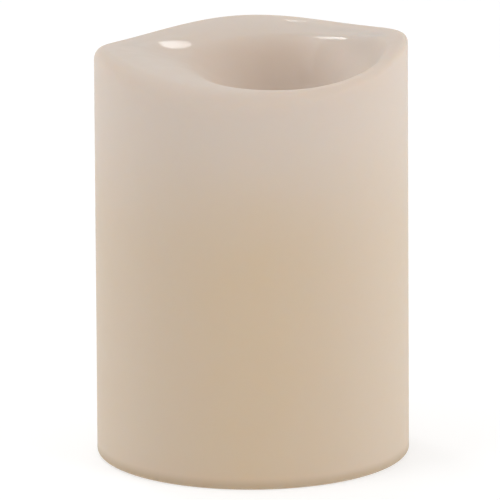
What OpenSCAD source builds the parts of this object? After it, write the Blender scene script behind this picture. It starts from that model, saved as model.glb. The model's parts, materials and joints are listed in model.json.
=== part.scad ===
// Flameless LED pillar candle, 3 x 4 inch class, in millimetres.
// The origin is on the table under the pillar's centre, +Z is up and the front faces -Y.
// A hollow wax pillar with a melted top stands over a plastic insert, which holds two AA cells,
// a slide switch, a timer board and one 5 mm LED. The door under the base swings down.

/* [Wax pillar] */
// Diameter of the pillar
pillar_d = 76.2; // [75:0.1:84]
// Mean height of the melted rim
rim_mean = 100.2; // [98:0.1:106]
// Thickness of the wax wall
wax_wall = 6.5; // [5.5:0.1:6.8]
// Height of the ceiling of the hollow
hollow_top = 72; // [71.5:0.5:75]
// Height of the bottom of the melted bowl
bowl_floor = 81.6; // [81:0.1:84]
// Sideways place of the bowl's centre
bowl_x = 7.2; // [0:0.1:8]
// Front-to-back place of the bowl's centre
bowl_y = -8.4; // [-8.5:0.1:0]
// Radius of the bowl's edge at the front right
bowl_r = 24.6; // [22:0.1:25]
// How much wider the bowl is at the back left
bowl_spread = 9; // [0:0.5:10]
// Depth of the shallow dish that covers the whole top
dish_depth = 3.6; // [2:0.1:4]
// Rounding of the rim on its left side
lip_left = 1.9; // [1.5:0.1:3]
// Rounding of the rim on its right side
lip_right = 1.1; // [0.8:0.1:1.5]
// Extra rounding of the rim at the front left
lip_front = 3.4; // [0:0.1:4]

/* [Base] */
// How far the base plate sits above the table
base_lift = 1.2; // [1:0.1:1.5]
// Thickness of the base plate
base_t = 3; // [3:0.1:3.4]
// Gap between the base plate and the wax
base_gap = 0.4; // [0.2:0.1:0.6]
// Height of the skirt that is glued to the wax
skirt_h = 8; // [5:0.5:12]

/* [Cells] */
// Diameter of an AA cell
cell_d = 14.2; // [13.8:0.1:14.4]
// Length of an AA cell
cell_len = 50.2; // [49.8:0.1:50.4]
// Distance between the two cells' centres
cell_pitch = 16.2; // [16:0.1:16.6]
// Front-to-back place of the cells
cell_y = 4; // [3.5:0.5:4]

/* [Battery door] */
// Width of the door
door_w = 36; // [35:0.5:38]
// Thickness of the door
door_t = 1.6; // [1.4:0.1:1.6]
// Gap around the door
door_gap = 0.3; // [0.2:0.05:0.4]
// Diameter of the hinge pins
hinge_d = 1.8; // [1.6:0.1:1.9]
// Radial clearance of the hinge pins in their sockets
hinge_clear = 0.06; // [0.04:0.01:0.1]

/* [Switch] */
// Front-to-back place of the slide switch
switch_y = -17; // [-18:0.5:-16.5]
// Travel of the slider each way from the middle
switch_travel = 2; // [1.5:0.1:2]

/* [LED] */
// Diameter of the LED
led_d = 5; // [4.8:0.1:5]
// Height of the underside of the LED
led_base = 80; // [79:0.5:81]

/* [Hidden] */
$fn = 48;
over = 1;                 // how far a cut runs past what it cuts
pillar_r = pillar_d / 2;
bore_r = pillar_r - wax_wall;
foot_round = 1;           // rounding of the pillar's lower edge
ceiling_round = 6;        // rounding of the hollow's ceiling
neck_r = 4.4;             // hole in the wax for the LED tube

// Waves of the melted rim: [height, number of waves round the rim, turn in degrees]
rim_waves = [[0.8, 1, 12], [1.5, 2, 26], [0.8, 3, -68], [0.6, 4, 15]];
rim_segments = 72;
// Steps from the crest of the rim inwards to the middle, as parts of the crest's radius
melt_steps = [0.985, 0.965, 0.94, 0.91, 0.87, 0.82, 0.76, 0.69, 0.61, 0.52, 0.43, 0.34, 0.25, 0.16, 0.08];
dish_width = 26;          // width over which the shallow dish sinks
dish_front = 0.3;         // part of its depth that it has at the front
spread_facing = 127;      // where the bowl is widest and softest
lip_facing = 245;         // where the rim has its extra rounding
side_width = 10;          // width of the bowl's side at the front right
side_softer = 14;         // extra width of the side at the back left
ramp_turn = 8;            // the bowl also falls along a ramp, turned this much from +X,
ramp_start = -24;         // which starts here
ramp_width = 38;          // and is this long

plate_r = bore_r - base_gap;
plate_z0 = base_lift;
plate_z1 = plate_z0 + base_t;
skirt_t = 2;
skirt_z1 = plate_z1 + skirt_h;

cell_r = cell_d / 2;
cell_x = cell_pitch / 2;
well_r = cell_r + 0.35;   // bore for one cell
well_wall = 1.5;
nub_r = 2.75;
nub_h = 1.3;
sleeve_t = 0.15;          // printed sleeve round the steel can
sleeve_end = 0.8;         // bare steel at each end of a cell
cell_can_r = cell_r - sleeve_t;
steel_t = 0.25;           // wall of the steel can
cap_t = 0.4;              // negative end cap
core_gap = 0.02;

door_z1 = plate_z0 + door_t;
door_y0 = -6;
door_y1 = 14;
door_corner = 3;
hinge_side_gap = 0.6;     // room behind the door for its edge as it swings
hinge_y = door_y1 + 3;
hinge_z = plate_z0 + 1.5;
hinge_r = hinge_d / 2;
neck_x = 10;              // the two hinge necks
neck_w = 4.4;
neck_slot_w = 5;
pin_reach = 4.2;          // from a neck's middle to the end of its pin
socket_reach = 4.5;
tongue_w = 8;             // latch tongue at the front of the door
tongue_l = 7;
slit_w = 0.8;

bridge_t = 0.4;           // sheet metal of the contacts
bridge_z1 = door_z1 + bridge_t;
wire_r = 0.35;            // spring wire
contact_gap = 0.1;        // air between the door's contacts and the cells
dimple_h = 1;
cell_a_z0 = bridge_z1 + 4.2;                       // negative end of the left cell
box_ceiling = cell_a_z0 + cell_len + bridge_t;     // its positive end meets a contact plate
cell_b_z0 = bridge_z1 + dimple_h + contact_gap;    // positive end of the right cell

flange_r = bore_r - 2.8;
flange_t = 1.6;
boss_r = 3.2;
boss_h = 10;
screw_ring = 25;          // housing screws, from the axis
screw_r = 1.1;
screw_head_r = 2;
screw_head_h = 1.5;
screw_clear = 0.05;
lid_r = 20;               // disc on top of the wells that carries the board
lid_t = 1.5;
lid_z1 = box_ceiling + lid_t;
lug_w = 4;

board_w = 28;
board_d = 20;
board_y = 2;
board_t = 1.6;
board_z0 = lid_z1 + 3.1;
board_z1 = board_z0 + board_t;
board_screws = [[-11.5, -5], [11.5, -5], [0, 9.4]];
board_screw_r = 0.8;
lead_pitch = 1.27;        // each LED lead, from the axis
tab_y = cell_y + 4;       // tabs of the upper contacts
tab_w = 3;

cover_wall = 1.3;
cover_gap = 0.1;
cover_z0 = box_ceiling + 0.2;
cover_z1 = hollow_top - 1;
cover_top_t = 1.4;
tube_r = 3.9;
tube_bore_r = 3.1;
tube_top = led_base + 4.5;

led_r = led_d / 2;
led_flange_r = led_r + 0.4;

can_x = 6;                // switch can, half sizes
can_y = 2.9;
can_t = 0.4;
can_z0 = plate_z1;
can_z1 = can_z0 + 4.5;
ear_x = 8;
lever_x = 1.6;
lever_y = 1.2;
lever_gap = 0.1;
carriage_x = 3;
carriage_y = 2.2;
carriage_z0 = can_z0 + can_t + 0.15;
carriage_z1 = carriage_z0 + 1.55;
finger_well_depth = 1.5;
pad_z0 = can_z0 + 3;
pin_pitch = 2.5;
pin_top = can_z1 + 4.3;

lead_r = 0.6;             // insulated wires between the switch and the board
wire_sides = 8;
// Route of the right-hand wire; the left-hand one mirrors it
wire_route = [
    [1.25, switch_y, pin_top + 0.05], [1.25, switch_y, pin_top + 1.6],
    [1.3, -16.6, 17], [1.4, -15.2, 19.4], [1.5, -13.2, 21.6], [1.5, -11.2, 23.8],
    [1.5, -9.4, 26.4], [1.5, -8.2, 29.6], [1.5, -7.7, 34], [1.5, -7.6, 40], [1.5, -7.6, 47],
    [1.5, -7.6, 53], [1.5, -7.5, 58], [1.5, -7.1, 60], [1.5, -6.7, 61.4], [1.5, -6.6, board_z0 - 0.1]];

plastic = [0.93, 0.91, 0.84];
metal = [0.75, 0.75, 0.74];

function unit(v) = v / norm(v);
function smooth(t) = let (u = min(max(t, 0), 1)) u * u * (3 - 2 * u);
function arc(cx, cy, r, a0, a1, n) =
    [for (i = [0:n]) let (a = a0 + (a1 - a0) * i / n) [cx + r * cos(a), cy + r * sin(a)]];

// Height of the rim's crest, going round anticlockwise from +X
function rim_h(a, i = 0) =
    i == len(rim_waves) ? rim_mean
    : rim_waves[i][0] * cos(rim_waves[i][1] * a - rim_waves[i][2]) + rim_h(a, i + 1);
// One where the angle points in a direction, falling to zero behind
function facing(a, direction) = 0.5 + 0.5 * cos(a - direction);
function lip(a) = lip_left + (lip_right - lip_left) * facing(a, 0)
    + lip_front * pow(facing(a, lip_facing), 4);
function crest_r(a) = pillar_r - lip(a);

// Height of the melted top at a place inside the crest
function bowl_share(x, y) =
    let (back = facing(atan2(y - bowl_y, x - bowl_x), spread_facing),
         inside = bowl_r + bowl_spread * back - norm([x - bowl_x, y - bowl_y]),
         along = x * cos(ramp_turn) + y * sin(ramp_turn) - ramp_start)
    smooth(inside / (side_width + side_softer * back)) * smooth(along / ramp_width);
function melt_z(a, part) =
    let (r = part * crest_r(a), x = r * cos(a), y = r * sin(a),
         rim = rim_mean + (rim_h(a) - rim_mean) * part * part,
         depth = dish_depth * (dish_front + (1 - dish_front) * smooth((y + 30) / 40)),
         dished = rim - depth * smooth((crest_r(a) - r) / dish_width))
    dished + (bowl_floor - dished) * bowl_share(x, y);
function melt_ring(part) =
    [for (i = [0:rim_segments - 1]) let (a = 360 * i / rim_segments, r = part * crest_r(a))
        [r * cos(a), r * sin(a), melt_z(a, part)]];
// A ring of the rounded lip, set out from the crest by a share of the lip's radius
function lip_ring(out, down) =
    [for (i = [0:rim_segments - 1]) let (a = 360 * i / rim_segments, r = crest_r(a) + out * lip(a))
        [r * cos(a), r * sin(a), rim_h(a) - down * lip(a)]];

module block(x0, x1, y0, y1, z0, z1) {
    translate([x0, y0, z0]) cube([x1 - x0, y1 - y0, z1 - z0]);
}

module rod(r, z0, z1, x = 0, y = 0) {
    translate([x, y, z0]) cylinder(r = r, h = z1 - z0);
}

module tube(r_out, r_in, z0, z1, x = 0, y = 0) {
    difference() {
        rod(r_out, z0, z1, x, y);
        rod(r_in, z0 - over, z1 + over, x, y);
    }
}

module cone(r0, r1, z0, z1, x = 0, y = 0) {
    translate([x, y, z0]) cylinder(r1 = r0, r2 = r1, h = z1 - z0);
}

module racetrack(half, r) {
    translate([-half, -r]) square([2 * half, 2 * r]);
    for (x = [-half, half]) translate([x, 0]) circle(r = r);
}

module rounded_plate(x, y0, y1, r, z0, z1) {
    translate([0, 0, z0]) linear_extrude(z1 - z0)
        polygon(concat(arc(x - r, y0 + r, r, -90, 0, 5), arc(x - r, y1 - r, r, 0, 90, 5),
                       arc(r - x, y1 - r, r, 90, 180, 5), arc(r - x, y0 + r, r, 180, 270, 5)));
}

// A round bar swept along a list of points; the reference direction is never along the bar
module swept_bar(route, r, reference) {
    last = len(route) - 1;
    points = [for (i = [0:last])
        let (along = unit(route[min(i + 1, last)] - route[max(i - 1, 0)]),
             u = unit(cross(along, reference)), v = cross(along, u))
        for (k = [0:wire_sides - 1])
            let (a = 360 * k / wire_sides) route[i] + r * (cos(a) * u + sin(a) * v)];
    ends = [[for (k = [0:wire_sides - 1]) k],
            [for (k = [wire_sides - 1:-1:0]) last * wire_sides + k]];
    sides = [for (i = [0:last - 1]) for (k = [0:wire_sides - 1])
        let (a = i * wire_sides, b = a + wire_sides, n = (k + 1) % wire_sides)
        for (f = [[a + k, b + k, b + n], [a + k, b + n, a + n]]) f];
    polyhedron(points, concat(ends, sides));
}

// A conical spring that stands on z0 and ends at z1
module cone_spring(x, y, z0, z1, r0, r1, turns) {
    steps = turns * 16;
    swept_bar([for (i = [0:steps]) let (t = i / steps, a = 360 * turns * t, r = r0 + (r1 - r0) * t)
        [x + r * cos(a), y + r * sin(a), z0 + wire_r + (z1 - z0 - 2 * wire_r) * t]],
        wire_r, [0, 0, 1]);
}

// Everything above the melted top, as one closed solid
module melt_cutter() {
    above = rim_mean + 12;
    outer = lip_ring(1.59, 1.66);
    rings = concat([[for (p = outer) [p.x, p.y, above]], outer, lip_ring(0.707, 0.293),
                    lip_ring(0, 0)], [for (s = melt_steps) melt_ring(s)]);
    last = len(rings) - 1;
    centre = len(rings) * rim_segments;
    skin = [for (k = [0:last - 1]) for (i = [0:rim_segments - 1])
        let (a = k * rim_segments, b = a + rim_segments, n = (i + 1) % rim_segments)
        for (f = [[a + i, a + n, b + n], [a + i, b + n, b + i]]) f];
    middle = [for (i = [0:rim_segments - 1])
        [last * rim_segments + i, last * rim_segments + (i + 1) % rim_segments, centre]];
    polyhedron(concat([for (ring = rings) each ring], [[0, 0, melt_z(0, 0)]]),
        concat([[for (i = [rim_segments - 1:-1:0]) i]], skin, middle));
}

module wax_body() {
    color([0.94, 0.89, 0.79]) difference() {
        rotate_extrude()
            polygon(concat([[0, rim_mean + 6], [0, 0]],
                arc(pillar_r - foot_round, foot_round, foot_round, -90, 0, 5),
                [[pillar_r, rim_mean + 6]]));
        melt_cutter();
        rotate_extrude()
            polygon(concat([[0, -over], [bore_r + 1 + over, -over], [bore_r, 1]],
                arc(bore_r - ceiling_round, hollow_top - ceiling_round, ceiling_round, 0, 90, 6),
                [[0, hollow_top]]));
        rod(neck_r, hollow_top - over, rim_mean);
    }
}

module pin_socket(side) {
    translate([side * neck_x - socket_reach, hinge_y, hinge_z]) rotate([0, 90, 0])
        cylinder(r = hinge_r + hinge_clear, h = 2 * socket_reach);
}

module base_plate() {
    color(plastic) difference() {
        union() {
            rod(plate_r, plate_z0, plate_z1);
            tube(plate_r, plate_r - skirt_t, plate_z1, skirt_z1);
        }
        rounded_plate(door_w / 2 + door_gap, door_y0 - door_gap, door_y1 + hinge_side_gap,
            door_corner, plate_z0 - over, door_z1 + 0.2);
        translate([0, cell_y, plate_z0]) linear_extrude(base_t + over) racetrack(cell_x, well_r);
        for (side = [-1, 1]) {
            block(side * neck_x - neck_slot_w / 2, side * neck_x + neck_slot_w / 2, door_y1,
                hinge_y + 1.5, plate_z0 - over, plate_z1 - 0.3);
            pin_socket(side);
        }
        // finger scoop in front of the door's latch
        rod(6, plate_z0 - over, plate_z0 + 0.9, 0, door_y0 - 0.5);
        screw_holes();
        block(-can_x - 0.5, can_x + 0.5, switch_y - 3.6, switch_y + 3.6, plate_z0 - over,
            plate_z0 + finger_well_depth);
        switch_window(plate_z0, plate_z1 + over);
        for (side = [-1, 1])
            rod(board_screw_r + screw_clear, plate_z0 + 0.6, plate_z1 + over,
                side * ear_x, switch_y);
    }
}

module screw_holes() {
    for (a = [90, 210, 330]) {
        x = screw_ring * cos(a);
        y = screw_ring * sin(a);
        rod(screw_r + 0.15, plate_z0, plate_z1 + over, x, y);
        rod(screw_head_r + 0.25, plate_z0 - over, plate_z0 + screw_head_h + 0.1, x, y);
    }
}

module switch_window(z0, z1) {
    block(-lever_x - switch_travel - lever_gap, lever_x + switch_travel + lever_gap,
        switch_y - lever_y - 0.2, switch_y + lever_y + 0.2, z0, z1);
}

module battery_box() {
    color(plastic) difference() {
        union() {
            translate([0, cell_y, plate_z1]) linear_extrude(box_ceiling - plate_z1)
                racetrack(cell_x, well_r + well_wall);
            rod(flange_r, plate_z1, plate_z1 + flange_t);
            for (a = [90, 210, 330])
                rod(boss_r, plate_z1, plate_z1 + boss_h, screw_ring * cos(a), screw_ring * sin(a));
            rod(lid_r, box_ceiling, lid_z1);
            for (a = [0, 120, 240])
                rotate(a) block(lid_r - over, lid_r + cover_gap + 0.9, -lug_w / 2, lug_w / 2,
                    cover_z0, lid_z1 - 0.3);
            for (p = board_screws) rod(2.2, lid_z1, board_z0, p.x, p.y);
            // ribs between the flange and the wells
            for (side = [-1, 1])
                block(side * (cell_x + well_r + 5) - 4.5, side * (cell_x + well_r + 5) + 4.5,
                    cell_y - 0.6, cell_y + 0.6, plate_z1, plate_z1 + 9);
        }
        for (side = [-1, 1]) {
            rod(well_r, plate_z1 - over, box_ceiling, side * cell_x, cell_y);
            block(side * cell_x - tab_w / 2 - 0.3, side * cell_x + tab_w / 2 + 0.3,
                tab_y - bridge_t - 0.2, tab_y + 0.2, box_ceiling - over, lid_z1 + over);
        }
        for (a = [90, 210, 330])
            rod(screw_r + screw_clear, plate_z1 - over, plate_z1 + boss_h - 1,
                screw_ring * cos(a), screw_ring * sin(a));
        block(-10.2, 10.2, switch_y - 3.3, switch_y + 3.3, plate_z1 - over,
            plate_z1 + flange_t + over);
        // way through for the switch wires
        block(-3.2, 3.2, -9.6, -5.6, box_ceiling - over, lid_z1 + over);
        for (p = board_screws)
            rod(board_screw_r + screw_clear, lid_z1 - 0.6, board_z0 + over, p.x, p.y);
    }
}

module electronics_cover() {
    inner = lid_r + cover_gap;
    outer = inner + cover_wall;
    color(plastic) difference() {
        rotate_extrude()
            polygon([[inner, cover_z0], [outer, cover_z0], [outer, cover_z1 - 1.5],
                [outer - 1.5, cover_z1], [tube_r, cover_z1], [tube_r, tube_top],
                [tube_bore_r, tube_top], [tube_bore_r, cover_z1 - cover_top_t],
                [inner, cover_z1 - cover_top_t]]);
        for (a = [0, 120, 240])
            rotate(a) block(lid_r - over, outer + over, -lug_w / 2 - 0.2, lug_w / 2 + 0.2,
                cover_z0 - over, lid_z1 - 0.2);
    }
}

module battery_door() {
    color(plastic) difference() {
        union() {
            rounded_plate(door_w / 2, door_y0, door_y1, door_corner, plate_z0, door_z1);
            for (side = [-1, 1]) {
                x = side * neck_x;
                block(x - neck_w / 2, x + neck_w / 2, door_y1 - over, hinge_y,
                    hinge_z - 0.8, hinge_z + 0.1);
                translate([x - pin_reach, hinge_y, hinge_z]) rotate([0, 90, 0])
                    cylinder(r = hinge_r, h = 2 * pin_reach);
            }
            // pegs that hold the contact bridge
            for (dy = [-3, 3]) rod(0.8, door_z1 - over, bridge_z1 + 0.4, 0, cell_y + dy);
            // grip ridges and the latch's nose
            for (i = [0:3])
                block(-tongue_w / 2 + 1, tongue_w / 2 - 1, door_y0 + 1 + 1.4 * i,
                    door_y0 + 1.6 + 1.4 * i, plate_z0 - 0.4, plate_z0 + over);
            block(-tongue_w / 2 + 1, tongue_w / 2 - 1, door_y0 - door_gap / 2, door_y0 + over,
                plate_z0 + 0.6, plate_z0 + 1.2);
        }
        for (side = [-1, 1])
            block(side * (tongue_w + slit_w) / 2 - slit_w / 2, side * (tongue_w + slit_w) / 2 + slit_w / 2,
                door_y0 - over, door_y0 + tongue_l, plate_z0 - over, door_z1 + over);
    }
}

module door_contact_bridge() {
    color(metal) difference() {
        union() {
            block(-13, 13, cell_y - 4.4, cell_y + 4.4, door_z1, bridge_z1);
            cone(2.4, 1.6, bridge_z1, bridge_z1 + dimple_h, cell_x, cell_y);
        }
        for (dy = [-3, 3]) rod(0.85, door_z1 - over, bridge_z1 + over, 0, cell_y + dy);
    }
}

module door_contact_spring() {
    color(metal) cone_spring(-cell_x, cell_y, bridge_z1 + 0.02, cell_a_z0 - contact_gap, 5.4, 2.4, 3);
}

// A cell stands with its positive end up, or down when it is turned; its own zero is its lower end
module cell_frame(x, z0, turned) {
    translate([x, cell_y, z0 + (turned ? cell_len : 0)]) mirror([0, 0, turned ? 1 : 0]) children();
}

// Steel cup with the positive nub, open at the negative end
module cell_can(x, z0, turned) {
    shoulder = cell_len - nub_h;
    color(metal) cell_frame(x, z0, turned) difference() {
        union() {
            rod(cell_can_r, cap_t, shoulder);
            rod(nub_r, shoulder - over, cell_len);
        }
        rod(cell_can_r - steel_t, cap_t - over, shoulder - steel_t);
    }
}

module cell_cap(x, z0, turned) {
    color(metal) cell_frame(x, z0, turned) rod(cell_can_r - 0.4, 0, cap_t);
}

module cell_core(x, z0, turned) {
    color([0.2, 0.2, 0.2]) cell_frame(x, z0, turned)
        rod(cell_can_r - steel_t - core_gap, cap_t, cell_len - nub_h - steel_t - core_gap);
}

module cell_sleeve(x, z0, turned) {
    color([0.35, 0.42, 0.40]) cell_frame(x, z0, turned)
        tube(cell_r, cell_can_r, sleeve_end, cell_len - nub_h - sleeve_end);
}

module cell_1_can() { cell_can(-cell_x, cell_a_z0, false); }
module cell_1_cap() { cell_cap(-cell_x, cell_a_z0, false); }
module cell_1_core() { cell_core(-cell_x, cell_a_z0, false); }
module cell_1_sleeve() { cell_sleeve(-cell_x, cell_a_z0, false); }
module cell_2_can() { cell_can(cell_x, cell_b_z0, true); }
module cell_2_cap() { cell_cap(cell_x, cell_b_z0, true); }
module cell_2_core() { cell_core(cell_x, cell_b_z0, true); }
module cell_2_sleeve() { cell_sleeve(cell_x, cell_b_z0, true); }

// A contact plate under the lid, with a tab that goes up through the board
module top_contact(side) {
    color(metal) union() {
        block(side * cell_x - 4.4, side * cell_x + 4.4, cell_y - 4.2, tab_y,
            box_ceiling - bridge_t, box_ceiling);
        block(side * cell_x - tab_w / 2, side * cell_x + tab_w / 2, tab_y - bridge_t, tab_y,
            box_ceiling - bridge_t, board_z1 + 0.6);
    }
}

module top_contact_positive() { top_contact(-1); }
module top_contact_negative() { top_contact(1); }

module top_contact_spring() {
    color(metal) cone_spring(cell_x, cell_y, cell_b_z0 + cell_len + 0.02,
        box_ceiling - bridge_t - 0.02, 2.4, 5.2, 3);
}

module switch_knob() {
    color([0.1, 0.1, 0.1]) difference() {
        union() {
            block(-lever_x, lever_x, switch_y - lever_y, switch_y + lever_y, plate_z0 + 0.3,
                carriage_z0 + over / 2);
            block(-carriage_x, carriage_x, switch_y - carriage_y, switch_y + carriage_y,
                carriage_z0, carriage_z1);
        }
        for (x = [-0.8, 0, 0.8])
            block(x - 0.15, x + 0.15, switch_y - lever_y - over, switch_y + lever_y + over,
                plate_z0, plate_z0 + 0.55);
    }
}

module switch_wiper() {
    color([0.8, 0.65, 0.3]) union() {
        block(-2.4, 2.4, switch_y - 1.4, switch_y + 1.4, carriage_z1, carriage_z1 + 0.2);
        for (x = [-pin_pitch / 2, pin_pitch / 2])
            cone(0.7, 0.4, carriage_z1 + 0.2, pad_z0 - 0.05, x, switch_y);
    }
}

module switch_can() {
    color(metal) difference() {
        union() {
            block(-can_x, can_x, switch_y - can_y, switch_y + can_y, can_z0, can_z1);
            block(-ear_x - 1.8, ear_x + 1.8, switch_y - 2.4, switch_y + 2.4, can_z0, can_z0 + can_t);
        }
        block(-can_x + can_t, can_x - can_t, switch_y - can_y + can_t, switch_y + can_y - can_t,
            can_z0 + can_t, can_z1 + over);
        switch_window(can_z0 - over, can_z0 + over);
        for (side = [-1, 1]) rod(board_screw_r + 0.15, can_z0 - over, can_z0 + over,
            side * ear_x, switch_y);
    }
}

module switch_base() {
    color([0.45, 0.28, 0.15]) difference() {
        block(-can_x + can_t, can_x - can_t, switch_y - can_y + can_t, switch_y + can_y - can_t,
            can_z1 - 1, can_z1);
        for (i = [-1.5:1:1.5])
            block(i * pin_pitch - 0.4, i * pin_pitch + 0.4, switch_y - 0.2, switch_y + 0.2,
                can_z1 - 1 - over, can_z1 + over);
    }
}

module switch_terminals() {
    color(metal) for (i = [-1.5:1:1.5]) {
        x = i * pin_pitch;
        union() {
            block(x - 0.9, x + 0.9, switch_y - 0.9, switch_y + 0.9, pad_z0, can_z1 - 1);
            block(x - 0.4, x + 0.4, switch_y - 0.2, switch_y + 0.2, pad_z0, pin_top);
        }
    }
}

// A small pan-head screw with a cross recess; it points down when down is 1
module small_screw(x, y, seat, shank, r, head_r, head_h, down) {
    translate([x, y, seat]) mirror([0, 0, down]) difference() {
        union() {
            rod(r, -head_h / 2, shank);
            cone(head_r * 0.8, head_r, -head_h, -head_h * 0.4);
            rod(head_r, -head_h * 0.4, 0);
        }
        for (a = [0, 90])
            rotate(a) block(-head_r * 0.55, head_r * 0.55, -0.2, 0.2, -head_h - over, -head_h * 0.45);
    }
}

module switch_screws() {
    color(metal) for (side = [-1, 1])
        small_screw(side * ear_x, switch_y, can_z0 + can_t, 2.4, board_screw_r, 1.5, 1, 1);
}

module housing_screws() {
    color(metal) for (a = [90, 210, 330])
        small_screw(screw_ring * cos(a), screw_ring * sin(a), plate_z0 + screw_head_h + 0.1,
            9, screw_r, screw_head_r, screw_head_h, 0);
}

module pcb_screws() {
    color(metal) for (p = board_screws)
        small_screw(p.x, p.y, board_z1, 4.2, board_screw_r, 1.5, 1, 1);
}

module switch_wire_red() {
    color([0.75, 0.1, 0.08]) swept_bar(wire_route, lead_r, [1, 0, 0]);
}

module switch_wire_black() {
    color([0.08, 0.08, 0.08])
        swept_bar([for (p = wire_route) [-p.x, p.y, p.z]], lead_r, [1, 0, 0]);
}

module main_pcb() {
    color([0.1, 0.35, 0.2]) difference() {
        block(-board_w / 2, board_w / 2, board_y - board_d / 2, board_y + board_d / 2,
            board_z0, board_z1);
        for (p = board_screws) rod(board_screw_r + 0.25, board_z0 - over, board_z1 + over, p.x, p.y);
        for (side = [-1, 1]) {
            block(side * cell_x - tab_w / 2 - 0.2, side * cell_x + tab_w / 2 + 0.2,
                tab_y - bridge_t - 0.2, tab_y + 0.2, board_z0 - over, board_z1 + over);
            rod(0.45, board_z0 - over, board_z1 + over, side * lead_pitch, 0);
        }
    }
}

module timer_chip() {
    color([0.12, 0.12, 0.13]) union() {
        block(-9.5, -4.5, 2, 6, board_z1 + 0.2, board_z1 + 1.7);
        for (i = [0:3]) for (y = [1.1, 6])
            block(-9.2 + 1.27 * i, -8.8 + 1.27 * i, y, y + 0.9, board_z1, board_z1 + 0.9);
    }
}

module timing_crystal() {
    color(metal) translate([9, -2.5, board_z1 + 1.05]) rotate([-90, 0, 0]) union() {
        cylinder(r = 1, h = 6);
        for (x = [-0.35, 0.35]) translate([x, 0, -1.6]) cylinder(r = 0.15, h = 2);
    }
}

module supply_capacitor() {
    color([0.15, 0.17, 0.25]) union() {
        rod(2, board_z1, board_z1 + 4.6, -10, -1);
        rod(1.7, board_z1 + 4.6, board_z1 + 4.8, -10, -1);
    }
}

module led_resistor() {
    color([0.75, 0.6, 0.42]) translate([4, -4.5, board_z1 + 1]) rotate([0, 90, 0]) union() {
        cylinder(r = 0.75, h = 3.4);
        for (z = [0, 2.6]) translate([0, 0, z]) cylinder(r = 0.9, h = 0.8);
        translate([0, 0, -1.6]) cylinder(r = 0.25, h = 6.6);
    }
}

module led_lens() {
    color([0.95, 0.9, 0.75]) rotate_extrude() union() {
        translate([0, led_base]) square([led_flange_r, 1]);
        translate([0, led_base]) square([led_r, 6.1]);
        intersection() {
            translate([0, led_base + 6.1]) circle(r = led_r);
            translate([0, led_base + 5]) square([led_r + over, 2 * led_r]);
        }
    }
}

module led_leads() {
    color(metal) for (x = [-lead_pitch, lead_pitch])
        block(x - 0.25, x + 0.25, -0.25, 0.25, board_z0 - 0.6, led_base);
}

module led_spacer() {
    color([0.96, 0.96, 0.94]) difference() {
        rod(2.6, board_z1, led_base);
        for (x = [-lead_pitch, lead_pitch])
            rod(0.42, board_z1 - over, led_base + over, x, 0);
    }
}

module glue_beads() {
    color([0.95, 0.94, 0.88]) for (i = [0:5]) {
        a = 60 * i;
        intersection() {
            translate([(plate_r - 0.7) * cos(a), (plate_r - 0.7) * sin(a), skirt_z1 + 0.4])
                sphere(r = 2.4);
            rod(bore_r - 0.02, skirt_z1, skirt_z1 + 4);
        }
    }
}

wax_body();
base_plate();
battery_box();
electronics_cover();
battery_door();
door_contact_bridge();
door_contact_spring();
cell_1_can();
cell_1_cap();
cell_1_core();
cell_1_sleeve();
cell_2_can();
cell_2_cap();
cell_2_core();
cell_2_sleeve();
top_contact_positive();
top_contact_negative();
top_contact_spring();
switch_knob();
switch_wiper();
switch_can();
switch_base();
switch_terminals();
switch_screws();
switch_wire_red();
switch_wire_black();
main_pcb();
timer_chip();
timing_crystal();
supply_capacitor();
led_resistor();
led_lens();
led_leads();
led_spacer();
housing_screws();
pcb_screws();
glue_beads();
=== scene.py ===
"""Flameless LED pillar candle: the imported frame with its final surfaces, light and camera."""
import json
import math

import bpy
from mathutils import Matrix, Vector


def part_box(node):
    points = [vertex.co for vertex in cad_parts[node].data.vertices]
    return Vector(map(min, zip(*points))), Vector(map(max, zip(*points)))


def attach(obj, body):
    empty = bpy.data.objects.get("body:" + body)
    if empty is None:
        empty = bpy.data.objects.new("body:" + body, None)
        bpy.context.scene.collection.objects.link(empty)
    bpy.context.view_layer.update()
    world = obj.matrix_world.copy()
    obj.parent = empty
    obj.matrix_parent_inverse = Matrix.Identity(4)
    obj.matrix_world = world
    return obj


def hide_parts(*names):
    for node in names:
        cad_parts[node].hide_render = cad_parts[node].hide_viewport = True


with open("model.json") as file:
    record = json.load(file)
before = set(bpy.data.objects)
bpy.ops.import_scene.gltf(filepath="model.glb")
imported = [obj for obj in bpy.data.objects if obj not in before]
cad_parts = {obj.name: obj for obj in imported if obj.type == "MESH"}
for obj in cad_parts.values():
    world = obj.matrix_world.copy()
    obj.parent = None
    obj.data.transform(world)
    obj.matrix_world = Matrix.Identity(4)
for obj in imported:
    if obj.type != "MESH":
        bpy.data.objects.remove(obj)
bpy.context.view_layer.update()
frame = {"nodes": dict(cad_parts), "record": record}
nodes = frame["nodes"]
scene = bpy.context.scene

MM = 0.001

# ---------------------------------------------------------------- camera

CAMERA_ELEVATION = math.radians(14.5)
CAMERA_ROLL = math.radians(0.34)
CAMERA_DISTANCE = 3.0
FRAME_WIDTH = 0.1223       # width of the picture at the candle
AIM_RIGHT = -0.0005        # where the picture's centre falls, across and up
AIM_UP = 0.0486


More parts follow.
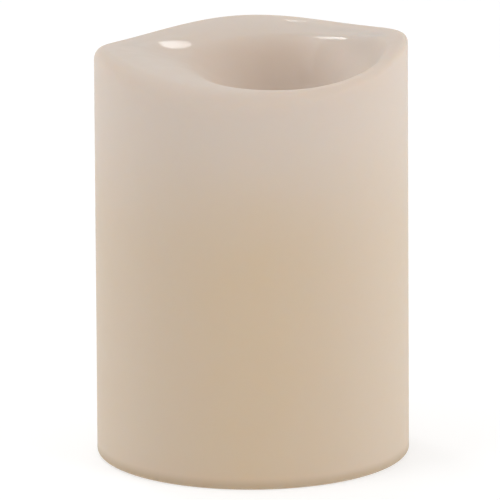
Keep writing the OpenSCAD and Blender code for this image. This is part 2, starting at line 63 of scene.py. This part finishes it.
def make_camera():
    data = bpy.data.cameras.new("camera")
    data.sensor_width = 36.0
    data.lens = data.sensor_width * CAMERA_DISTANCE / FRAME_WIDTH
    data.clip_start, data.clip_end = 0.1, 60.0
    right = Vector((1, 0, 0))
    up = Vector((0, math.sin(CAMERA_ELEVATION), math.cos(CAMERA_ELEVATION)))
    back = right.cross(up)
    aim = right * AIM_RIGHT + up * AIM_UP
    rolled_up = up * math.cos(CAMERA_ROLL) + right * math.sin(CAMERA_ROLL)
    rolled_right = rolled_up.cross(back)
    turn = Matrix((rolled_right, rolled_up, back)).transposed().to_4x4()
    camera = bpy.data.objects.new("camera", data)
    camera.matrix_world = Matrix.Translation(aim + back * CAMERA_DISTANCE) @ turn
    scene.collection.objects.link(camera)
    scene.camera = camera


make_camera()

# ---------------------------------------------------------------- light and floor


def area_light(name, place, target, width, height, power):
    data = bpy.data.lights.new(name, "AREA")
    data.shape = "RECTANGLE"
    data.size, data.size_y = width, height
    data.energy = power
    light = bpy.data.objects.new(name, data)
    light.location = place
    light.rotation_euler = (Vector(target) - Vector(place)).to_track_quat("-Z", "Y").to_euler()
    light.visible_camera = False
    scene.collection.objects.link(light)


# name: place, width, height, power in watts
LIGHTS = {
    "right_softbox": ((0.72, -0.50, 0.35), 0.5, 0.7, 4.0),
    "left_softbox": ((-0.74, -0.46, 0.45), 0.5, 0.7, 2.9),
    "overhead_softbox": ((-0.15, 0.05, 0.9), 0.6, 0.6, 1.3),
    "back_left_light": ((0.034, 0.933, 0.48), 0.035, 0.2, 0.3),
    "back_right_light": ((-0.34, 0.61, 0.83), 0.17, 0.3, 1.1),
}
LIGHTS_AIM = (0, 0, 0.05)    # the middle of the pillar
WORLD_STRENGTH = 0.6
FRONT_SHARE = 0.3          # the room is darker in front, so the pillar is shaded across
DIM_FROM, DIM_TO = -0.9, -0.1   # where along Y, as a direction, the room gets brighter
FLOOR_GLOW = 0.56
FLOOR_HALF = 8.0
FLOOR_Z = -0.00005         # just under the foot, so the two never share a plane


def floor_paint():
    """White from above, and clear from below, so that the battery door can be looked at."""
    paint = bpy.data.materials.new("floor_white")
    paint.use_nodes = True
    tree = paint.node_tree
    shader = tree.nodes["Principled BSDF"]
    shader.inputs["Base Color"].default_value = (0.5, 0.5, 0.5, 1)
    shader.inputs["Roughness"].default_value = 0.9
    shader.inputs["Emission Color"].default_value = (1, 1, 1, 1)
    shader.inputs["Emission Strength"].default_value = FLOOR_GLOW
    side = tree.nodes.new("ShaderNodeNewGeometry")
    clear = tree.nodes.new("ShaderNodeBsdfTransparent")
    choice = tree.nodes.new("ShaderNodeMixShader")
    tree.links.new(side.outputs["Backfacing"], choice.inputs["Fac"])
    tree.links.new(shader.outputs["BSDF"], choice.inputs[1])
    tree.links.new(clear.outputs["BSDF"], choice.inputs[2])
    tree.links.new(choice.outputs["Shader"], tree.nodes["Material Output"].inputs["Surface"])
    return paint


def make_stage():
    world = bpy.data.worlds.new("studio")
    world.use_nodes = True
    background = world.node_tree.nodes["Background"]
    background.inputs["Color"].default_value = (1, 1, 1, 1)
    direction = world.node_tree.nodes.new("ShaderNodeTexCoord")
    split = world.node_tree.nodes.new("ShaderNodeSeparateXYZ")
    dim = world.node_tree.nodes.new("ShaderNodeMapRange")
    dim.interpolation_type = "SMOOTHSTEP"
    for socket, value in (("From Min", DIM_FROM), ("From Max", DIM_TO),
                          ("To Min", WORLD_STRENGTH * FRONT_SHARE), ("To Max", WORLD_STRENGTH)):
        dim.inputs[socket].default_value = value
    world.node_tree.links.new(direction.outputs["Generated"], split.inputs["Vector"])
    world.node_tree.links.new(split.outputs["Y"], dim.inputs["Value"])
    world.node_tree.links.new(dim.outputs["Result"], background.inputs["Strength"])
    scene.world = world
    for name, (place, width, height, power) in LIGHTS.items():
        area_light(name, place, LIGHTS_AIM, width, height, power)
    mesh = bpy.data.meshes.new("floor")
    corners = ((-1, -1), (1, -1), (1, 1), (-1, 1))
    mesh.from_pydata([(x * FLOOR_HALF, y * FLOOR_HALF, FLOOR_Z) for x, y in corners], [],
                     [(0, 1, 2, 3)])
    floor = bpy.data.objects.new("floor", mesh)
    scene.collection.objects.link(floor)
    mesh.materials.append(floor_paint())
    scene.view_settings.view_transform = "Standard"


make_stage()

# ---------------------------------------------------------------- material helpers


class Paint:
    """A material with a Principled shader, and short calls for its nodes."""

    def __init__(self, name, roughness=0.5, **sockets):
        self.material = bpy.data.materials.new(name)
        self.material.use_nodes = True
        self.tree = self.material.node_tree
        self.shader = self.tree.nodes["Principled BSDF"]
        self.set("Roughness", roughness)
        for socket, value in sockets.items():
            self.set(socket.replace("_", " "), value)

    def set(self, socket, value):
        self.shader.inputs[socket].default_value = value

    def link(self, source, target):
        self.tree.links.new(source, target)

    def node(self, kind, **values):
        made = self.tree.nodes.new(kind)
        for key, value in values.items():
            setattr(made, key, value)
        return made

    def place(self, scale=(1, 1, 1)):
        """Object coordinates in metres, stretched by scale."""
        coordinates = self.node("ShaderNodeTexCoord")
        mapping = self.node("ShaderNodeMapping")
        mapping.inputs["Scale"].default_value = scale
        self.link(coordinates.outputs["Object"], mapping.inputs["Vector"])
        return mapping.outputs["Vector"]

    def noise(self, scale, detail=3.0, roughness=0.5, stretch=(1, 1, 1)):
        texture = self.node("ShaderNodeTexNoise")
        texture.inputs["Scale"].default_value = scale
        texture.inputs["Detail"].default_value = detail
        texture.inputs["Roughness"].default_value = roughness
        self.link(self.place(stretch), texture.inputs["Vector"])
        return texture.outputs["Fac"]

    def along(self, axis):
        """The place along one axis, X, Y or Z, in metres."""
        split = self.node("ShaderNodeSeparateXYZ")
        self.link(self.place(), split.inputs["Vector"])
        return split.outputs[axis]

    def radius(self):
        """The distance from the pillar's axis, in metres."""
        length = self.node("ShaderNodeVectorMath", operation="LENGTH")
        self.link(self.place((1, 1, 0)), length.inputs[0])
        return length.outputs["Value"]

    def remap(self, source, low, high, to_low=0.0, to_high=1.0, smooth=False):
        change = self.node("ShaderNodeMapRange")
        change.interpolation_type = "SMOOTHSTEP" if smooth else "LINEAR"
        for socket, value in (("From Min", low), ("From Max", high),
                              ("To Min", to_low), ("To Max", to_high)):
            change.inputs[socket].default_value = value
        self.link(source, change.inputs["Value"])
        return change.outputs["Result"]

    def math(self, operation, first, second):
        sums = self.node("ShaderNodeMath", operation=operation)
        for socket, value in zip(sums.inputs, (first, second)):
            if isinstance(value, (int, float)):
                socket.default_value = value
            else:
                self.link(value, socket)
        return sums.outputs["Value"]

    def mix(self, factor, first, second):
        """A colour between two colours, each a triple or a socket."""
        blend = self.node("ShaderNodeMix", data_type="RGBA")
        self.link(factor, blend.inputs["Factor"])
        for socket, value in ((blend.inputs[6], first), (blend.inputs[7], second)):
            if isinstance(value, tuple):
                socket.default_value = (*value, 1)
            else:
                self.link(value, socket)
        return blend.outputs[2]

    def colour(self, source):
        self.link(source, self.shader.inputs["Base Color"])

    def rough(self, source, low, high):
        self.link(self.remap(source, 0.3, 0.7, low, high), self.shader.inputs["Roughness"])

    def bump(self, source, distance, strength=1.0):
        bump = self.node("ShaderNodeBump")
        bump.inputs["Distance"].default_value = distance
        bump.inputs["Strength"].default_value = strength
        self.link(source, bump.inputs["Height"])
        previous = self.shader.inputs["Normal"]
        if previous.is_linked:
            self.link(previous.links[0].from_socket, bump.inputs["Normal"])
        self.link(bump.outputs["Normal"], previous)


def shade(colour, share):
    """A colour made darker (share under 1) or lighter (share over 1)."""
    return tuple(min(1.0, part * share) for part in colour)


# ---------------------------------------------------------------- materials

# painted light and shade: the upper wax is lighter as light through the solid top, the lower wax
# darker as shade over the hollow wall
LOWER_WAX = (0.58, 0.46, 0.33)
# painted light: the wall's sides are paler, as if lit by the side lamps
SIDE_LIT_WAX = (0.58, 0.478, 0.375)
UPPER_WAX = (0.605, 0.52, 0.45)
# painted shade: the bowl's wax is darker and warmer, as shade in the recess
BOWL_SHADE_WAX = (0.60, 0.485, 0.40)
RIM_LIT_WAX = (0.72, 0.62, 0.54)      # painted light: the bowl's right side, lighter as if light came through the rim

# Ranges over which the wax changes, in metres: where a change begins and where it is complete
TOP_FROM, TOP_TO, TOP_WOBBLE = 0.052, 0.094, 0.005     # height, lower wax to upper wax, the upper wax lighter as painted light through the solid top
SIDES_FROM, SIDES_TO = 0.0, 0.034                      # away from the middle, to the paler sides, painted as light from the side lamps
BOWL_OUT, BOWL_IN = 0.033, 0.024                       # radius of the bowl's painted shade
BOWL_TOP, BOWL_LOW = 0.101, 0.095                      # height of the bowl's painted shade
RIM_LIT_FROM, RIM_LIT_TO = 0.010, 0.026                      # along X, to the bowl's lighter side, painted light
FOOT_TOP, FOOT_LOW, FOOT_SHADE = 0.0032, 0.0004, 0.72  # the lower edge, darker as painted shade
GLOSS_OUT, GLOSS_IN = 0.0345, 0.031                    # radius of the gloss
GLOSS_FRONT, GLOSS_BACK = 0.002, 0.010                 # along Y
GLOSS_LEFT, GLOSS_RIGHT = 0.005, 0.016                 # along X
COAT_LEFT, COAT_RIGHT = 0.1, 0.6                       # coat weights


def wax_paint():
    paint = Paint("wax", roughness=0.5)
    paint.set("IOR", 1.4)
    paint.set("Specular IOR Level", 0.06)
    paint.set("Subsurface Weight", 0.6)
    paint.set("Subsurface Radius", (1.0, 0.72, 0.5))
    paint.set("Subsurface Scale", 0.006)
    paint.set("Coat Roughness", 0.025)
    # Gloss is only at the back of the bowl, so that the back lights make two spots there and
    # draw no bright lines along the rim.
    glossy = paint.math("MULTIPLY", paint.remap(paint.radius(), GLOSS_OUT, GLOSS_IN, smooth=True),
                        paint.remap(paint.along("Y"), GLOSS_FRONT, GLOSS_BACK, smooth=True))
    gloss = paint.remap(paint.along("X"), GLOSS_LEFT, GLOSS_RIGHT, COAT_LEFT, COAT_RIGHT,
                        smooth=True)
    paint.link(paint.math("MULTIPLY", glossy, gloss), paint.shader.inputs["Coat Weight"])
    z = paint.along("Z")
    cloud = paint.noise(38, detail=4)
    # painted light and shade: the top is whiter than the wall, as light through the solid wax, and the
    # wall is darker over the hollow; the wall is paler towards its sides, as painted light from the
    # side lamps
    wobble = paint.remap(cloud, 0, 1, -TOP_WOBBLE, TOP_WOBBLE)
    top_light = paint.remap(paint.math("ADD", z, wobble), TOP_FROM, TOP_TO, smooth=True)
    sides = paint.remap(paint.math("ABSOLUTE", paint.along("X"), 0), SIDES_FROM, SIDES_TO,
                        smooth=True)
    body = paint.mix(top_light, paint.mix(sides, LOWER_WAX, SIDE_LIT_WAX), UPPER_WAX)
    # painted shade: the bowl is darker, as shade in its recess
    bowl_shade_mask = paint.math("MULTIPLY", paint.remap(paint.radius(), BOWL_OUT, BOWL_IN, smooth=True),
                         paint.remap(z, BOWL_TOP, BOWL_LOW, smooth=True))
    # painted light: the bowl's right side is lighter, as light through the rim
    thin = paint.remap(paint.along("X"), RIM_LIT_FROM, RIM_LIT_TO, smooth=True)
    body = paint.mix(bowl_shade_mask, body, paint.mix(thin, BOWL_SHADE_WAX, RIM_LIT_WAX))
    # painted shade along the foot's rounded lower edge
    foot = paint.remap(z, FOOT_TOP, FOOT_LOW, smooth=True)
    body = paint.mix(foot, body, shade(LOWER_WAX, FOOT_SHADE))
    mottle = paint.remap(paint.noise(150, detail=5, roughness=0.6), 0.3, 0.7)
    paint.colour(paint.mix(paint.remap(mottle, 0, 1, 0, 0.12), body, shade(UPPER_WAX, 0.93)))
    paint.rough(paint.noise(260, detail=4), 0.44, 0.56)
    paint.bump(paint.noise(90, detail=2), 0.00005)
    paint.bump(paint.noise(900, detail=4), 0.00001)
    return paint.material


def moulded_paint(name, colour, roughness, grain=2400):
    """Injection-moulded plastic: a fine spark-eroded grain and slightly uneven colour."""
    paint = Paint(name, roughness=roughness)
    paint.colour(paint.mix(paint.noise(60), shade(colour, 0.93), shade(colour, 1.05)))
    paint.rough(paint.noise(300), roughness - 0.06, roughness + 0.06)
    paint.bump(paint.noise(grain, detail=2), 0.00002)
    return paint.material


def metal_paint(name, colour, roughness, stretch=(1, 1, 1)):
    """Sheet metal or wire with fine rolling marks and slight tarnish."""
    paint = Paint(name, roughness=roughness, Metallic=1.0)
    tarnish = paint.noise(220, detail=4)
    paint.colour(paint.mix(paint.remap(tarnish, 0.45, 0.75), colour, shade(colour, 0.75)))
    paint.rough(tarnish, roughness - 0.05, roughness + 0.12)
    paint.bump(paint.noise(1500, detail=2, stretch=stretch), 0.000008)
    return paint.material


SLEEVE_BAND = 0.041        # the sleeve's print changes colour at this height


def sleeve_paint():
    paint = Paint("cell_sleeve", roughness=0.22, Coat_Weight=0.4)
    z = paint.along("Z")
    band = paint.math("GREATER_THAN", z, SLEEVE_BAND)
    printed = paint.mix(band, (0.02, 0.09, 0.07), (0.55, 0.36, 0.10))
    paint.colour(paint.mix(paint.noise(300), printed, (0.05, 0.12, 0.10)))
    paint.rough(paint.noise(200), 0.18, 0.28)
    paint.bump(paint.noise(120), 0.00002)
    return paint.material


def grainy_paint(name, dark, light, roughness, scale=700):
    paint = Paint(name, roughness=roughness)
    grains = paint.noise(scale, detail=6, roughness=0.7)
    paint.colour(paint.mix(paint.remap(grains, 0.35, 0.65), dark, light))
    paint.bump(grains, 0.00004)
    return paint.material


def wire_paint(name, colour):
    paint = Paint(name, roughness=0.38)
    paint.colour(paint.mix(paint.noise(400), shade(colour, 0.85), shade(colour, 1.15)))
    paint.rough(paint.noise(500), 0.32, 0.45)
    paint.bump(paint.noise(1800, stretch=(1, 1, 0.1)), 0.00001)
    return paint.material


def board_paint():
    paint = Paint("board_green", roughness=0.35, Coat_Weight=0.3)
    tracks = paint.node("ShaderNodeTexVoronoi", feature="DISTANCE_TO_EDGE", distance="CHEBYCHEV")
    tracks.inputs["Scale"].default_value = 260
    paint.link(paint.place((1, 0.6, 0.01)), tracks.inputs["Vector"])
    copper = paint.remap(tracks.outputs["Distance"], 0.06, 0.10, smooth=True)
    paint.colour(paint.mix(copper, (0.03, 0.20, 0.08), (0.01, 0.11, 0.05)))
    paint.rough(paint.noise(500), 0.3, 0.42)
    paint.bump(copper, 0.00003)
    return paint.material


def epoxy_paint():
    paint = Paint("led_epoxy", roughness=0.05, IOR=1.5, Transmission_Weight=0.9)
    paint.colour(paint.mix(paint.noise(200), (1.0, 0.93, 0.75), (1.0, 0.88, 0.62)))
    paint.rough(paint.noise(500), 0.03, 0.08)
    return paint.material


def glue_paint():
    paint = Paint("hot_glue", roughness=0.25, Subsurface_Weight=0.5, Subsurface_Scale=0.002)
    paint.colour(paint.mix(paint.noise(500), (0.86, 0.84, 0.75), (0.93, 0.92, 0.86)))
    paint.rough(paint.noise(400), 0.2, 0.35)
    paint.bump(paint.noise(350, detail=2), 0.0001)
    return paint.material


IVORY = (0.86, 0.80, 0.66)
NICKEL = (0.66, 0.64, 0.60)

PAINTS = {
    "wax": wax_paint(),
    "abs_ivory": moulded_paint("abs_ivory", IVORY, 0.42),
    "knob_black": moulded_paint("knob_black", (0.02, 0.02, 0.022), 0.4),
    "contact_nickel": metal_paint("contact_nickel", NICKEL, 0.25, stretch=(0.1, 1, 1)),
    "wiper_brass": metal_paint("wiper_brass", (0.75, 0.52, 0.20), 0.25),
    "cell_steel": metal_paint("cell_steel", (0.72, 0.72, 0.72), 0.18, stretch=(1, 1, 0.05)),
    "cell_sleeve": sleeve_paint(),
    "cell_core": grainy_paint("cell_core", (0.01, 0.01, 0.01), (0.06, 0.06, 0.06), 0.9),
    "phenolic": grainy_paint("phenolic", (0.22, 0.10, 0.04), (0.36, 0.19, 0.08), 0.55),
    "red_insulation": wire_paint("red_insulation", (0.55, 0.03, 0.02)),
    "black_insulation": wire_paint("black_insulation", (0.02, 0.02, 0.02)),
    "board_green": board_paint(),
    "chip_black": grainy_paint("chip_black", (0.015, 0.015, 0.017), (0.04, 0.04, 0.045), 0.6, 1800),
    "crystal_metal": metal_paint("crystal_metal", (0.72, 0.72, 0.72), 0.22),
    "capacitor_sleeve": moulded_paint("capacitor_sleeve", (0.02, 0.03, 0.10), 0.28),
    "resistor_tan": grainy_paint("resistor_tan", (0.50, 0.34, 0.18), (0.60, 0.43, 0.25), 0.4),
    "led_epoxy": epoxy_paint(),
    "spacer_white": moulded_paint("spacer_white", (0.85, 0.85, 0.82), 0.35),
    "screw_steel": metal_paint("screw_steel", (0.58, 0.58, 0.58), 0.28),
    "hot_glue": glue_paint(),
}


def paint_nodes():
    slots = {part["node"]: part["material_slot"] for part in frame["record"]["subparts"]}
    for name, obj in nodes.items():
        obj.data.materials.clear()
        obj.data.materials.append(PAINTS[slots[name]])


paint_nodes()

# ---------------------------------------------------------------- the wax pillar

wax_low, wax_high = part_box("wax_body")
PILLAR_R = (wax_high.x - wax_low.x) / 2 / MM
RIM_MEAN = 100.2
WAX_WALL = 6.5
BORE_R = PILLAR_R - WAX_WALL
HOLLOW_TOP = 72.0
CEILING_ROUND = 6.0
NECK_R = 4.4
FOOT_ROUND = 1.0
# Waves of the melted rim: height, number of waves round the rim, turn in degrees
RIM_WAVES = ((0.8, 1, 12), (1.5, 2, 26), (0.8, 3, -68), (0.6, 4, 15))
LIP_LEFT, LIP_RIGHT, LIP_FRONT = 1.9, 1.1, 3.4
# The bowl: a round side, steep at the front right and soft at the back left, times a long ramp
BOWL_X, BOWL_Y, BOWL_R, BOWL_FLOOR = 7.2, -8.4, 24.6, 81.6
BOWL_SPREAD, SPREAD_FACING = 9.0, 127
SIDE_WIDTH, SIDE_SOFTER = 10.0, 14.0
RAMP_TURN, RAMP_START, RAMP_WIDTH = 8, -24.0, 38.0
DISH_DEPTH, DISH_WIDTH, DISH_FRONT = 3.6, 26.0, 0.3   # shallower towards the front
COLUMNS = 360              # upright rows of the mesh, with these many steps in each stretch:
MELT_STEPS, LIP_STEPS, WALL_STEPS, FOOT_STEPS, CEILING_STEPS = 60, 8, 30, 5, 8


def smooth(t):
    t = min(max(t, 0.0), 1.0)
    return t * t * (3 - 2 * t)


def facing(angle, direction, power=1):
    """One where the angle points in a direction given in degrees, falling to zero behind."""
    return (0.5 + 0.5 * math.cos(angle - math.radians(direction))) ** power


def rim_height(angle):
    waves = (size * math.cos(count * angle - math.radians(turn)) for size, count, turn in RIM_WAVES)
    return RIM_MEAN + sum(waves)


def lip_round(angle):
    side = LIP_LEFT + (LIP_RIGHT - LIP_LEFT) * facing(angle, 0)
    return side + LIP_FRONT * facing(angle, 245, 4)


def bowl_share(x, y):
    """Nought outside the bowl, one at its bottom."""
    across, along = x - BOWL_X, y - BOWL_Y
    back = facing(math.atan2(along, across), SPREAD_FACING)
    inside = BOWL_R + BOWL_SPREAD * back - math.hypot(across, along)
    side = smooth(inside / (SIDE_WIDTH + SIDE_SOFTER * back))
    turn = math.radians(RAMP_TURN)
    return side * smooth((x * math.cos(turn) + y * math.sin(turn) - RAMP_START) / RAMP_WIDTH)


def melt_height(angle, part):
    """Height of the melted top at a part of the crest's radius."""
    crest = PILLAR_R - lip_round(angle)
    r = part * crest
    rim = RIM_MEAN + (rim_height(angle) - RIM_MEAN) * part * part
    x, y = r * math.cos(angle), r * math.sin(angle)
    depth = DISH_DEPTH * (DISH_FRONT + (1 - DISH_FRONT) * smooth((y + 30) / 40))
    dished = rim - depth * smooth((crest - r) / DISH_WIDTH)
    return dished + (BOWL_FLOOR - dished) * bowl_share(x, y)


def arc(centre_r, centre_z, radius, start, end, steps):
    turns = (math.radians(start + (end - start) * i / steps) for i in range(steps + 1))
    return [(centre_r + radius * math.cos(t), centre_z + radius * math.sin(t)) for t in turns]


def wax_column(angle):
    """The pillar's closed section at one angle: radius and height, from the neck outwards and down."""
    lip = lip_round(angle)
    crest = PILLAR_R - lip
    top = rim_height(angle)
    inner = NECK_R / crest
    parts = [inner + (1 - inner) * i / MELT_STEPS for i in range(MELT_STEPS + 1)]
    points = [(NECK_R, HOLLOW_TOP + step) for step in (0.0, 4.0, 8.0)]
    points += [(part * crest, melt_height(angle, part)) for part in parts]
    shoulder = top - lip
    points += arc(crest, shoulder, lip, 90, 0, LIP_STEPS)[1:]
    points += [(PILLAR_R, shoulder + (FOOT_ROUND - shoulder) * i / WALL_STEPS)
               for i in range(1, WALL_STEPS)]
    points += arc(PILLAR_R - FOOT_ROUND, FOOT_ROUND, FOOT_ROUND, 0, -90, FOOT_STEPS)
    points += [(BORE_R + 1, 0.0), (BORE_R, 1.0), (BORE_R, 20.0), (BORE_R, 45.0)]
    points += arc(BORE_R - CEILING_ROUND, HOLLOW_TOP - CEILING_ROUND, CEILING_ROUND, 0, 90,
                  CEILING_STEPS)
    points.append(((BORE_R - CEILING_ROUND + NECK_R) / 2, HOLLOW_TOP))
    return points


def make_wax():
    mesh = bpy.data.meshes.new("wax_pillar")
    columns = [2 * math.pi * i / COLUMNS for i in range(COLUMNS)]
    rows = [wax_column(angle) for angle in columns]
    rings = len(rows[0])
    vertices = [(r * math.cos(angle) * MM, r * math.sin(angle) * MM, z * MM)
                for angle, row in zip(columns, rows) for r, z in row]
    faces = []
    for i in range(COLUMNS):
        here, there = i * rings, (i + 1) % COLUMNS * rings
        for k in range(rings):
            n = (k + 1) % rings
            faces.append((here + k, there + k, there + n, here + n))
    mesh.from_pydata(vertices, [], faces)
    mesh.polygons.foreach_set("use_smooth", [True] * len(mesh.polygons))
    mesh.update()
    wax = bpy.data.objects.new("wax_pillar", mesh)
    scene.collection.objects.link(wax)
    mesh.materials.append(PAINTS["wax"])
    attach(wax, "root")
    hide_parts("wax_body")


make_wax()

# ---------------------------------------------------------------- small pieces in the insert


def add_piece(name, vertices, faces, body, slot, smooth_faces=False):
    """A mesh given in millimetres that rides on a body and takes a slot's paint."""
    mesh = bpy.data.meshes.new(name)
    mesh.from_pydata([(x * MM, y * MM, z * MM) for x, y, z in vertices], [], faces)
    mesh.polygons.foreach_set("use_smooth", [smooth_faces] * len(mesh.polygons))
    mesh.update()
    mesh.materials.append(PAINTS[slot])
    piece = bpy.data.objects.new(name, mesh)
    scene.collection.objects.link(piece)
    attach(piece, body)


def turned(profile, places, steps=24):
    """A profile of radius and height, turned about an upright axis at each of the places."""
    vertices, faces = [], []
    for x, y, z in places:
        first = len(vertices)
        for r, h in profile:
            vertices += [(x + r * math.cos(2 * math.pi * i / steps),
                          y + r * math.sin(2 * math.pi * i / steps), z + h) for i in range(steps)]
        for k in range(len(profile) - 1):
            here, there = first + k * steps, first + (k + 1) * steps
            faces += [(here + i, here + (i + 1) % steps, there + (i + 1) % steps, there + i)
                      for i in range(steps)]
        faces.append(tuple(range(first + steps - 1, first - 1, -1)))
        last = first + (len(profile) - 1) * steps
        faces.append(tuple(range(last, last + steps)))
    return vertices, faces


def bar_mark(x, y, length, width, turn=0):
    """A straight bar as one outline, turned by an angle in degrees."""
    c, s = math.cos(math.radians(turn)), math.sin(math.radians(turn))
    corners = ((-length, -width), (length, -width), (length, width), (-length, width))
    return [[(x + (u * c - v * s) / 2, y + (u * s + v * c) / 2) for u, v in corners]]


def ring_mark(x, y, inner, outer, steps=24):
    """A flat ring as a run of four-cornered outlines."""
    turns = [2 * math.pi * i / steps for i in range(steps + 1)]
    return [[(x + r * math.cos(t), y + r * math.sin(t))
             for r, t in ((inner, a), (outer, a), (outer, b), (inner, b))]
            for a, b in zip(turns, turns[1:])]


def raised(outlines, low, high):
    """Outlines drawn as thin raised marks between two heights."""
    vertices, faces = [], []
    for outline in outlines:
        first, count = len(vertices), len(outline)
        vertices += [(x, y, z) for z in (low, high) for x, y in outline]
        faces.append(tuple(range(first + count - 1, first - 1, -1)))
        faces.append(tuple(range(first + count, first + 2 * count)))
        faces += [(first + i, first + (i + 1) % count, first + count + (i + 1) % count,
                   first + count + i) for i in range(count)]
    return vertices, faces


def box_mm(node):
    low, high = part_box(node)
    return low / MM, high / MM


def middle(node):
    low, high = box_mm(node)
    return (low + high) / 2


SOLDER = ((0.95, 0.0), (0.8, 0.12), (0.55, 0.35), (0.42, 0.7), (0.3, 0.95), (0.12, 1.05))
UNDER_SHARE = 0.6          # the joints under the board are flatter
SOLDER_UNDER = tuple((r, -UNDER_SHARE * h) for r, h in reversed(SOLDER))
WIRE_R = 0.6
LEAD_HALF = 0.25           # half the width of an LED lead
CUP_X, POST_X = -0.45, 1.27


def make_solder():
    """Solder where the leads and the contact tabs go through the board."""
    board_low, board_high = box_mm("main_pcb")
    wires = [box_mm("switch_wire_" + colour) for colour in ("red", "black")]
    ends = [((low.x + high.x) / 2, high.y - WIRE_R, board_high.z) for low, high in wires]
    add_piece("solder_joints", *turned(SOLDER, ends), "root", "contact_nickel", True)
    lead_x = box_mm("led_leads")[1].x - LEAD_HALF
    under = [(side * lead_x, 0.0, board_low.z) for side in (-1, 1)]
    add_piece("solder_joints_under", *turned(SOLDER_UNDER, under), "root", "contact_nickel", True)


def make_led_frame():
    """The post and the reflector cup inside the LED's epoxy, with the yellow phosphor dome."""
    base = box_mm("led_lens")[0].z + 0.2
    cup = ((0.25, 0.0), (0.25, 2.6), (0.75, 3.3), (0.85, 3.9), (0.65, 3.9), (0.4, 3.5))
    post = ((0.25, 0.0), (0.25, 3.0), (0.45, 3.3), (0.45, 3.7), (0.3, 3.8))
    vertices, faces = turned(cup, [(CUP_X, 0.0, base)])
    more_vertices, more_faces = turned(post, [(POST_X, 0.0, base)])
    count = len(vertices)
    faces += [tuple(count + i for i in face) for face in more_faces]
    add_piece("led_frame", vertices + more_vertices, faces, "root", "contact_nickel", True)
    dome = ((0.6, 3.72), (0.52, 3.95), (0.35, 4.12), (0.15, 4.2))
    add_piece("led_phosphor", *turned(dome, [(CUP_X, 0.0, base)]), "root", "resistor_tan", True)


MARK_HEIGHT, MARK_SUNK = 0.08, 0.02
MARK_PITCH = 5.0           # between the signs beside the switch


def make_marks():
    """Polarity on the door's inside, and off, on and timer beside the switch."""
    bridge_low = box_mm("door_contact_bridge")[0]
    sheet = bridge_low.z                     # the door's inner face, where the bridge lies
    row = bridge_low.y - 2.4
    spring, dimple = middle("cell_1_can").x, middle("cell_2_can").x
    marks = bar_mark(spring, row, 2.4, 0.5) + bar_mark(dimple, row, 2.4, 0.5)
    marks += bar_mark(dimple, row, 2.4, 0.5, 90)
    add_piece("polarity_marks", *raised(marks, sheet - MARK_SUNK, sheet + MARK_HEIGHT), "door",
              "knob_black")
    under = box_mm("base_plate")[0].z
    row = middle("switch_knob").y - 5.2
    marks = ring_mark(-MARK_PITCH, row, 0.65, 0.95) + bar_mark(0, row, 1.9, 0.35, 90)
    marks += ring_mark(MARK_PITCH, row, 0.8, 1.1)
    marks += bar_mark(MARK_PITCH, row + 0.3, 0.8, 0.25, 90)
    marks += bar_mark(MARK_PITCH + 0.25, row, 0.7, 0.25)
    add_piece("switch_marks", *raised(marks, under - MARK_HEIGHT, under + MARK_SUNK), "root",
              "knob_black")


make_solder()
make_led_frame()
make_marks()
